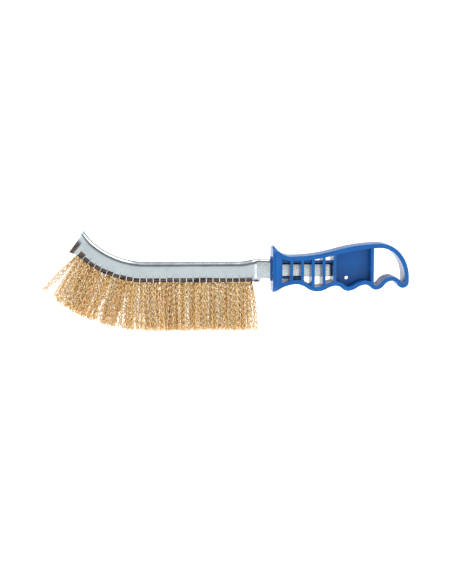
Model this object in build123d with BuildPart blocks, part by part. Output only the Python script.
from build123d import *

import os
from math import cos, radians, sin

# Knife-style wire brush: a folded sheet-steel back that grips crimped wire, driven into a moulded handle.
#
# Millimetres, +Z up. X runs along the brush towards the handle, Y across it. The origin is on the surface
# that the trimmed wire ends stand on, under the middle of the whole length, so heights are above that
# surface. The nose of the back turns up about an axis along Y, high above its straight run.

# ---- Whole brush ------------------------------------------------------------------------------------
LENGTH = 262.0

# ---- Steel back: one strip folded into a channel, its mouth down ------------------------------------
SHEET = 0.8
HALF_WIDTH = 3.5  # outside; the fold that makes the back is round, with this radius
BACK_TOP = 49.8  # height of the back along the straight run
CHANNEL_HEIGHT = 14.4  # from the back down to the mouth
NOSE_RADIUS = 57.6  # along the back, to the axis that the nose bends about
NOSE_ANGLE = 43.5
PITCH = 4.75  # of the crimps that close the mouth on the wires
STRAIGHT_CRIMPS = 16
NOSE_CRIMPS = 11
CRIMP_HEIGHT = 2.8
CRIMP_DEPTH = 0.7  # how far the edge is pressed in
RIDGE = 1.2  # left standing between two crimps

MOUTH = BACK_TOP - CHANNEL_HEIGHT
NOSE_AXIS_Z = BACK_TOP + NOSE_RADIUS
MOUTH_RADIUS = NOSE_RADIUS + CHANNEL_HEIGHT
STRAIGHT_START = NOSE_AXIS_Z * sin(radians(NOSE_ANGLE)) - LENGTH / 2
STRAIGHT_LENGTH = STRAIGHT_CRIMPS * PITCH
STRAIGHT_END = STRAIGHT_START + STRAIGHT_LENGTH
CRIMP_ANGLE = NOSE_ANGLE / NOSE_CRIMPS
RIDGE_ANGLE = CRIMP_ANGLE * RIDGE / PITCH
NOSE_AXIS = Axis((STRAIGHT_START, 0, NOSE_AXIS_Z), (0, 1, 0))

# ---- Bell mouth at the tip of the nose ---------------------------------------------------------------
BELL_ANGLE = 48.1  # where its lower corner is
BELL_LEAN = 35.4  # of the cut end, from upright
BELL_RADIUS = 74.4  # of the lower corner, about the nose axis
BELL_HEIGHT = 18.0
BELL_HALF_WIDTH = 5.0

# ---- Tang: the strip closed up round the core, with a narrower spike --------------------------------
LAND = 2.2  # plain end of the channel
JOGGLE = 2.6  # length over which it closes up
TANG_HALF = 2.2
SHOULDER_BOTTOM, SHOULDER_TOP = 37.6, 51.6
SPIKE_BOTTOM, SPIKE_TOP = 38.9, 48.9
SHOULDER_DEPTH = 3.0  # how far the shoulder goes into the guard
SPIKE_END = 44.0  # behind the guard face

# ---- Core and wires ---------------------------------------------------------------------------------
CORE_RADIUS = 1.2
CORE_HEIGHT = BACK_TOP - HALF_WIDTH
CORE_INTO_TANG = 16.0
SLACK = 0.05  # kept between neighbouring pieces
TRIM_HALF_WIDTH = 6.0  # half the width of the trimmed face
END_SPLAY = 3.6  # how far the last wires lean out at the trim

# ---- Handle -----------------------------------------------------------------------------------------
HALF_DEPTH = 10.0
GUARD_HALF_DEPTH = 13.0
GUARD_FLARE = 6.5  # length over which the guard spreads to that
RIM = 3.2  # wall all round
RIB = 2.2
GUARD_BLOCK = 6.9  # solid behind the guard face
GUARD_CORNER = 9.0  # of the guard, seen along the brush
WINDOW_PITCH = 7.75
WINDOWS = 5
PANEL_LENGTH = 24.8
WEB = 2.0
RAIL = 1.5  # guides above and below the spike
RAIL_HALF_DEPTH = 4.0
GUIDE_TOP = 52.5  # the upper guide is solid up to the rim in the first windows
TIE_HOLE_RADIUS = 1.2
TIE_HOLE = (54.0, 37.8)
SOCKET_BOSS = 1.2  # how far the socket's mouth stands out of the guard
EDGE = 0.8  # rounding of the rim's outer edges
INNER_EDGE = 0.3  # and of the windows' and the panel's

# Outline of the grip, joined by tangent arcs: distance behind the guard face, and height.
GUARD_BOTTOM, GUARD_TOP = 28.0, 61.0
GUARD_HORN, GUARD_TOE = (1.7, 60.9), (1.6, 28.1)
NECK_TOP = (14.1, 54.0)
BACK_LINE = [(45.3, 58.3), (76.6, 63.0), (91.8, 56.1), (98.1, 38.8)]
HEEL_STRAIGHT = 3.3
HEEL_TIP = (94.2, 31.0)
# Finger side, from the heel forward: hollows and lobes in turn, each level where it turns back.
FINGER_LINE = [
    (85.3, 36.1), (75.1, 29.8), (65.9, 33.4), (55.2, 29.1), (44.5, 32.7), (33.8, 28.9), (14.9, 33.9),
]
GUARD_X = LENGTH / 2 - BACK_LINE[-1][0]


def across(x, height=0.0):
    """Section plane across the brush at x: local x runs along -Y, local y is up."""
    return Plane(origin=(x, 0, height), x_dir=(0, -1, 0), z_dir=(-1, 0, 0))


def round_nose(angle, radius=NOSE_AXIS_Z, lean=None):
    """The same section plane, carried round the nose; its origin is at the radius from the nose axis."""
    turn = radians(angle)
    tilt = turn if lean is None else radians(lean)
    origin = (STRAIGHT_START - radius * sin(turn), 0, NOSE_AXIS_Z - radius * cos(turn))
    return Plane(origin=origin, x_dir=(0, -1, 0), z_dir=(-cos(tilt), 0, sin(tilt)))


def arch(half_width, bottom, top):
    """Face with a half-round top and a flat bottom."""
    spring = top - half_width
    with BuildSketch() as face:
        with BuildLine():
            CenterArc((0, spring), half_width, 0, 180)
            Polyline(
                (-half_width, spring), (-half_width, bottom), (half_width, bottom), (half_width, spring),
            )
        make_face()
    return face.sketch


def ridge_pair():
    """What stands between two crimps, cut across: a wedge on each side of the mouth."""
    with BuildSketch() as pair:
        for side in (1, -1):
            with BuildLine():
                Polyline(
                    (side * HALF_WIDTH, MOUTH), (side * HALF_WIDTH, MOUTH + CRIMP_HEIGHT),
                    (side * (HALF_WIDTH - CRIMP_DEPTH), MOUTH), close=True,
                )  # fmt: skip
            make_face()
    return pair.sketch


# ---- steel_back --------------------------------------------------------------------------------------
INNER_HALF = HALF_WIDTH - SHEET
GUARD_STEP = GUARD_X + SHOULDER_DEPTH
with BuildPart() as steel_back:
    with BuildSketch(across(STRAIGHT_START)) as channel:
        spring = BACK_TOP - HALF_WIDTH
        crimp_top = MOUTH + CRIMP_HEIGHT
        with BuildLine():
            CenterArc((0, spring), HALF_WIDTH, 0, 180)
            for side in (1, -1):
                Polyline(
                    (side * HALF_WIDTH, spring), (side * HALF_WIDTH, crimp_top),
                    (side * (HALF_WIDTH - CRIMP_DEPTH), MOUTH), (side * (INNER_HALF - CRIMP_DEPTH), MOUTH),
                    (side * INNER_HALF, crimp_top), (side * INNER_HALF, spring),
                )  # fmt: skip
            CenterArc((0, spring), INNER_HALF, 0, 180)
        make_face()
    extrude(channel.sketch, amount=STRAIGHT_LENGTH, dir=(1, 0, 0))
    revolve(channel.sketch, axis=NOSE_AXIS, revolution_arc=NOSE_ANGLE)

    # Ridges standing between the crimps, on both sides.
    with BuildSketch(*[across(STRAIGHT_END - i * PITCH) for i in range(STRAIGHT_CRIMPS)]):
        add(ridge_pair())
    extrude(amount=RIDGE, dir=(-1, 0, 0))
    with BuildSketch(*[round_nose((i + 1) * CRIMP_ANGLE - RIDGE_ANGLE) for i in range(NOSE_CRIMPS)]):
        add(ridge_pair())
    revolve(axis=NOSE_AXIS, revolution_arc=RIDGE_ANGLE)

    # Bell mouth: the same arch, opening to the cut end of the strip.
    bell_start = round_nose(NOSE_ANGLE, MOUTH_RADIUS)
    bell_end = round_nose(BELL_ANGLE, BELL_RADIUS, BELL_LEAN)
    for inset, mode in ((0.0, Mode.ADD), (SHEET, Mode.SUBTRACT)):
        with BuildSketch(bell_start):
            add(arch(HALF_WIDTH - inset, 0, CHANNEL_HEIGHT - inset))
        with BuildSketch(bell_end):
            add(arch(BELL_HALF_WIDTH - inset, 0, BELL_HEIGHT - inset))
        loft(mode=mode)

    # Plain land at the handle end, then the joggle that closes the strip up into the tang.
    land_end = STRAIGHT_END + LAND
    tang_start = land_end + JOGGLE
    for inset, mode in ((0.0, Mode.ADD), (SHEET, Mode.SUBTRACT)):
        with BuildSketch(across(STRAIGHT_END)):
            add(arch(HALF_WIDTH - inset, MOUTH, BACK_TOP - inset))
        extrude(amount=LAND, dir=(1, 0, 0), mode=mode)
    with BuildSketch(across(land_end)):
        add(arch(HALF_WIDTH, MOUTH, BACK_TOP))
    with BuildSketch(across(tang_start)):
        add(arch(TANG_HALF, MOUTH, SHOULDER_TOP))
    loft()
    with BuildSketch(across(tang_start)):
        add(arch(TANG_HALF, SHOULDER_BOTTOM, SHOULDER_TOP))
    extrude(amount=GUARD_STEP - tang_start, dir=(1, 0, 0))
    with BuildSketch(across(GUARD_STEP, SPIKE_BOTTOM)):
        Rectangle(2 * TANG_HALF, SPIKE_TOP - SPIKE_BOTTOM, align=(Align.CENTER, Align.MIN))
    extrude(amount=SPIKE_END - SHOULDER_DEPTH, dir=(1, 0, 0))
    with BuildSketch(across(land_end, CORE_HEIGHT)):
        Circle(CORE_RADIUS + SLACK)
    extrude(amount=CORE_INTO_TANG, dir=(1, 0, 0), mode=Mode.SUBTRACT)

# ---- core_wire: the rod that the wires are folded over -------------------------------------------------
with BuildPart() as core_wire:
    with BuildSketch(across(STRAIGHT_START, CORE_HEIGHT)) as rod:
        Circle(CORE_RADIUS)
    extrude(rod.sketch, amount=STRAIGHT_LENGTH + LAND + CORE_INTO_TANG, dir=(1, 0, 0))
    revolve(rod.sketch, axis=NOSE_AXIS, revolution_arc=NOSE_ANGLE)


# ---- wire bundles: what each crimp holds -----------------------------------------------------------------
def bundle_section():
    """A bundle cut across: folded over the core, pinched at the mouth, spreading to the trim."""
    shoulder = HALF_WIDTH - SHEET - SLACK
    neck = shoulder - CRIMP_DEPTH
    with BuildSketch() as section:
        with BuildLine():
            CenterArc((0, CORE_HEIGHT), shoulder, 0, 180)
            Polyline(
                (-shoulder, CORE_HEIGHT), (-shoulder, MOUTH + CRIMP_HEIGHT), (-neck, MOUTH),
                (-TRIM_HALF_WIDTH, 0), (TRIM_HALF_WIDTH, 0), (neck, MOUTH),
                (shoulder, MOUTH + CRIMP_HEIGHT), (shoulder, CORE_HEIGHT),
            )  # fmt: skip
        make_face()
        with Locations((0, CORE_HEIGHT)):
            Circle(CORE_RADIUS + SLACK, mode=Mode.SUBTRACT)
    return section.sketch


def nose_bundle(index):
    """Bundle on the nose, counted from where the straight run ends."""
    gap = CRIMP_ANGLE * SLACK / PITCH
    with BuildPart() as bundle:
        with BuildSketch(round_nose(index * CRIMP_ANGLE + gap)):
            add(bundle_section())
        revolve(axis=NOSE_AXIS, revolution_arc=CRIMP_ANGLE - 2 * gap)
    return bundle.part


def straight_bundle(index):
    """Bundle on the straight run, counted towards the handle. The last one leans out at the trim."""
    start = STRAIGHT_START + index * PITCH + SLACK
    root = start + PITCH - 2 * SLACK
    splay = END_SPLAY if index == STRAIGHT_CRIMPS - 1 else 0
    with BuildPart() as bundle:
        with BuildSketch(across(root + splay)):
            add(bundle_section())
        extrude(amount=root + splay - start, dir=(-1, 0, 0))
        if splay:
            with BuildSketch(Plane.XZ):
                with BuildLine():
                    far = root + 2 * splay
                    Polyline(
                        (root, BACK_TOP), (root, MOUTH), (root + splay, 0), (far, 0), (far, BACK_TOP),
                        close=True,
                    )  # fmt: skip
                make_face()
            extrude(amount=BACK_TOP, both=True, mode=Mode.SUBTRACT)
    return bundle.part


# ---- handle ----------------------------------------------------------------------------------------------
def grip(point):
    """A point of the outline, in the brush's frame."""
    return Vector(GUARD_X + point[0], point[1])


def slab(x_start, x_end, z_start, z_end):
    """Upright rectangle in the XZ plane, to cut or add across the handle."""
    with BuildSketch() as rectangle:
        with Locations((x_start, z_start)):
            Rectangle(x_end - x_start, z_end - z_start, align=(Align.MIN, Align.MIN))
    return rectangle.sketch


def is_rim_edge(edge):
    """Edges along the outline, on either side of the grip and behind the guard's front."""
    box = edge.bounding_box()
    upright = box.size.X < SLACK and box.size.Z > HEEL_STRAIGHT + SLACK
    outside = abs(edge.center().Y) > HALF_DEPTH - SLACK
    return outside and not upright and box.max.X > GUARD_X + GUARD_HORN[0] + SLACK


def is_window_edge(edge):
    """Edges in front of the loop that lie in one of the grip's two flat faces."""
    box = edge.bounding_box()
    outside = abs(edge.center().Y) > HALF_DEPTH - SLACK
    return outside and box.size.Y < SLACK and box.max.X < loop_start - SLACK


# The outline, its inside, and what is cut through it.
with BuildSketch() as outline:
    with BuildLine():
        TangentArc(grip(NECK_TOP), grip(GUARD_HORN), tangent=(-1, 0))
        end, heading = grip(NECK_TOP), (1, 0)
        for corner in BACK_LINE:
            arc = TangentArc(end, grip(corner), tangent=heading)
            end, heading = arc @ 1, arc % 1
        heel = Line(end, end + heading * HEEL_STRAIGHT)
        arc = TangentArc(heel @ 1, grip(HEEL_TIP), tangent=heading)
        for turn in FINGER_LINE:
            halfway = (arc @ 1 + grip(turn)) / 2
            arc = TangentArc(arc @ 1, halfway, tangent=arc % 1)
            arc = TangentArc(halfway, grip(turn), tangent=arc % 1)
        toe = TangentArc(arc @ 1, grip(GUARD_TOE), tangent=arc % 1)
        Polyline(
            toe @ 1, (GUARD_X + 0.3, GUARD_BOTTOM), (GUARD_X, GUARD_BOTTOM + 0.6),
            (GUARD_X, GUARD_TOP - 0.9), (GUARD_X + 0.5, GUARD_TOP), grip(GUARD_HORN),
        )  # fmt: skip
    make_face()
with BuildSketch() as inside:
    add(outline.sketch)
    offset(amount=-RIM, mode=Mode.REPLACE)
window_start = GUARD_X + GUARD_BLOCK
panel_start = window_start + WINDOWS * WINDOW_PITCH
panel_end = panel_start + PANEL_LENGTH
loop_start = panel_end + RIB
above, below = 2 * GUARD_TOP, 0
with BuildSketch() as windows:
    for i in range(WINDOWS):
        start = window_start + i * WINDOW_PITCH
        add(slab(start, start + WINDOW_PITCH - RIB, below, above))
    add(slab(loop_start, LENGTH, below, above))
    add(inside.sketch, mode=Mode.INTERSECT)
with BuildSketch() as panel:
    add(slab(panel_start, panel_end, below, above))
    add(inside.sketch, mode=Mode.INTERSECT)

with BuildPart() as handle:
    with BuildSketch(Plane.XZ):
        add(outline.sketch)
    extrude(amount=GUARD_HALF_DEPTH, both=True)

    # The guard spreads to its full depth; the rest of the grip is narrower.
    with BuildSketch(Plane.XY):
        with BuildLine():
            for side in (1, -1):
                flare_end = (GUARD_X + GUARD_FLARE, side * HALF_DEPTH)
                guard_edge = (GUARD_X + 1.4, side * GUARD_HALF_DEPTH)
                TangentArc(flare_end, guard_edge, tangent=(-1, 0))
                Line(guard_edge, (GUARD_X, side * (GUARD_HALF_DEPTH - 1)))
                Line(flare_end, (LENGTH, side * HALF_DEPTH))
            for x, depth in ((GUARD_X, GUARD_HALF_DEPTH - 1), (LENGTH, HALF_DEPTH)):
                Line((x, -depth), (x, depth))
        make_face()
    extrude(amount=above, mode=Mode.INTERSECT)

    # Round the edges all round the grip and along the guard's flare, but not where the flare meets flat.
    fillet(handle.edges().filter_by(is_rim_edge), EDGE)

    # Seen along the brush, the guard has round corners.
    guard_height = GUARD_TOP - GUARD_BOTTOM
    with BuildSketch(across(GUARD_X, (GUARD_TOP + GUARD_BOTTOM) / 2)):
        Rectangle(3 * GUARD_HALF_DEPTH, guard_height + GUARD_CORNER)
        RectangleRounded(2 * GUARD_HALF_DEPTH, guard_height, GUARD_CORNER, mode=Mode.SUBTRACT)
    extrude(amount=GUARD_FLARE, dir=(1, 0, 0), mode=Mode.SUBTRACT)

    # Windows and finger loop right through, and a recess on both sides of the panel.
    with BuildSketch(Plane.XZ):
        add(windows.sketch)
    extrude(amount=GUARD_HALF_DEPTH, both=True, mode=Mode.SUBTRACT)
    fillet(handle.edges(Select.LAST).filter_by(is_window_edge), INNER_EDGE)
    with BuildSketch(Plane.XZ.offset(WEB / 2), Plane.XZ.offset(-WEB / 2 - HALF_DEPTH)):
        add(panel.sketch)
    extrude(amount=HALF_DEPTH, mode=Mode.SUBTRACT)
    fillet(handle.edges(Select.LAST).filter_by(is_window_edge), INNER_EDGE)

    # Guides for the spike, set back from the faces, and the socket's mouth standing out of the guard.
    with BuildSketch(Plane.XZ):
        add(slab(window_start, panel_start, SPIKE_TOP, SPIKE_TOP + RAIL))
        add(slab(window_start, window_start + 3 * WINDOW_PITCH, SPIKE_TOP, GUIDE_TOP))
        add(slab(window_start, window_start + 2 * WINDOW_PITCH, SPIKE_BOTTOM - RAIL, SPIKE_BOTTOM))
    extrude(amount=RAIL_HALF_DEPTH, both=True)
    with BuildSketch(across(GUARD_X + 1)):
        with Locations((0, (SHOULDER_TOP + SHOULDER_BOTTOM) / 2)):
            Rectangle(2 * TANG_HALF + 2 * RAIL, SHOULDER_TOP - SHOULDER_BOTTOM + 2 * RAIL)
    extrude(amount=1 + SOCKET_BOSS, dir=(-1, 0, 0))

    # Socket for the tang, and the tie hole through the panel.
    with BuildSketch(across(GUARD_STEP + SLACK)):
        add(arch(TANG_HALF + SLACK, SHOULDER_BOTTOM - SLACK, SHOULDER_TOP + SLACK))
    extrude(amount=GUARD_HALF_DEPTH, dir=(-1, 0, 0), mode=Mode.SUBTRACT)
    with BuildSketch(across(GUARD_X, SPIKE_BOTTOM - SLACK)):
        spike_room = SPIKE_TOP - SPIKE_BOTTOM + 2 * SLACK
        Rectangle(2 * (TANG_HALF + SLACK), spike_room, align=(Align.CENTER, Align.MIN))
    extrude(amount=SPIKE_END + SLACK, dir=(1, 0, 0), mode=Mode.SUBTRACT)
    with BuildSketch(Plane.XZ):
        with Locations(grip(TIE_HOLE)):
            Circle(TIE_HOLE_RADIUS)
    extrude(amount=WEB, both=True, mode=Mode.SUBTRACT)

# ---- Write every piece -----------------------------------------------------------------------------------
pieces = {"handle": handle.part, "steel_back": steel_back.part, "core_wire": core_wire.part}
bundles = [nose_bundle(i) for i in reversed(range(NOSE_CRIMPS))]
bundles += [straight_bundle(i) for i in range(STRAIGHT_CRIMPS)]
for number, bundle in enumerate(bundles, start=1):
    pieces[f"wire_bundle_{number:02d}"] = bundle
os.makedirs("parts", exist_ok=True)
for name, piece in pieces.items():
    piece.label = name
    export_step(piece, f"parts/{name}.step")
